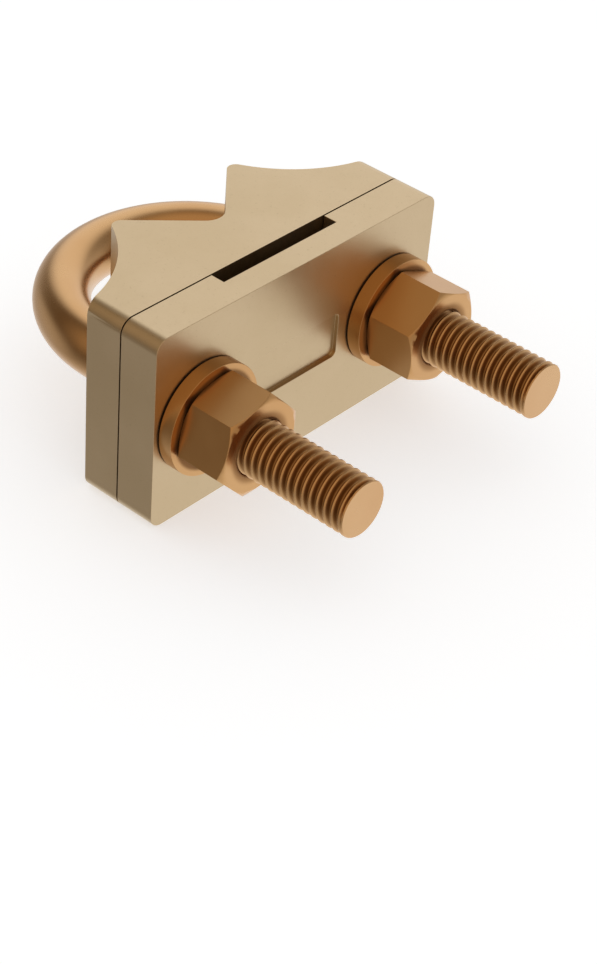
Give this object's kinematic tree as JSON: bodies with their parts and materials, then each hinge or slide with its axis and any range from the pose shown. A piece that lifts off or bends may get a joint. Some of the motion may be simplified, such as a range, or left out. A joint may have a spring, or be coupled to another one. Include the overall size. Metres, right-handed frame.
{
  "type": "u-bolt rod clamp",
  "caption": "Rod clamp: a saddle with a vee seat and a recessed front plate, drawn together by a U-bolt with washers and hexagon nuts to grip a round rod and a flat tape.",
  "frame": {"origin": "on the axis of the seat, which is the middle of a seated 20 mm rod, at half the plates' height", "axes": "+Z along the seated rod, +X along the plates from the left stud to the right one, -Y towards the studs' free ends"},
  "size_m": [0.067, 0.0851, 0.0366],
  "materials": {
    "cast_plates": "satin pale gunmetal, cast and cleaned",
    "fasteners": "satin copper-coloured bronze"
  },
  "bodies": {
    "front_plate": {"front_plate": "cast_plates"},
    "back_plate": {"back_plate": "cast_plates"},
    "u_bolt": {"u_bolt": "fasteners"},
    "left_washer": {"left_washer": "fasteners"},
    "right_washer": {"right_washer": "fasteners"},
    "left_nut": {"left_nut": "fasteners"},
    "right_nut": {"right_nut": "fasteners"}
  },
  "joints": [
    {"name": "left_nut_turn", "type": "hinge", "parent": "front_plate", "child": "left_nut", "pos_m": [-0.0226, -0.03888, 0], "axis": [0, -1, 0], "range_deg": [0, 5040]},
    {"name": "right_nut_turn", "type": "hinge", "parent": "front_plate", "child": "right_nut", "pos_m": [0.0226, -0.03888, 0], "axis": [0, -1, 0], "range_deg": [0, 5040]},
    {"name": "u_bolt_slide", "type": "slide", "parent": "front_plate", "child": "u_bolt", "axis": [0, 1, 0], "range_m": [0, 0.021]},
    {"name": "back_plate_slide", "type": "slide", "parent": "front_plate", "child": "back_plate", "axis": [0, 1, 0], "range_m": [0, 0.0018]},
    {"name": "left_washer_turn", "type": "hinge", "parent": "front_plate", "child": "left_washer", "pos_m": [-0.0226, -0.03266, 0], "axis": [0, -1, 0], "continuous": true},
    {"name": "right_washer_turn", "type": "hinge", "parent": "front_plate", "child": "right_washer", "pos_m": [0.0226, -0.03266, 0], "axis": [0, -1, 0], "continuous": true}
  ],
  "couplings": [
    {"joint": "left_nut_turn", "follows": "u_bolt_slide", "rad_per_m": 4188.8},
    {"joint": "right_nut_turn", "follows": "u_bolt_slide", "rad_per_m": 4188.8}
  ]
}
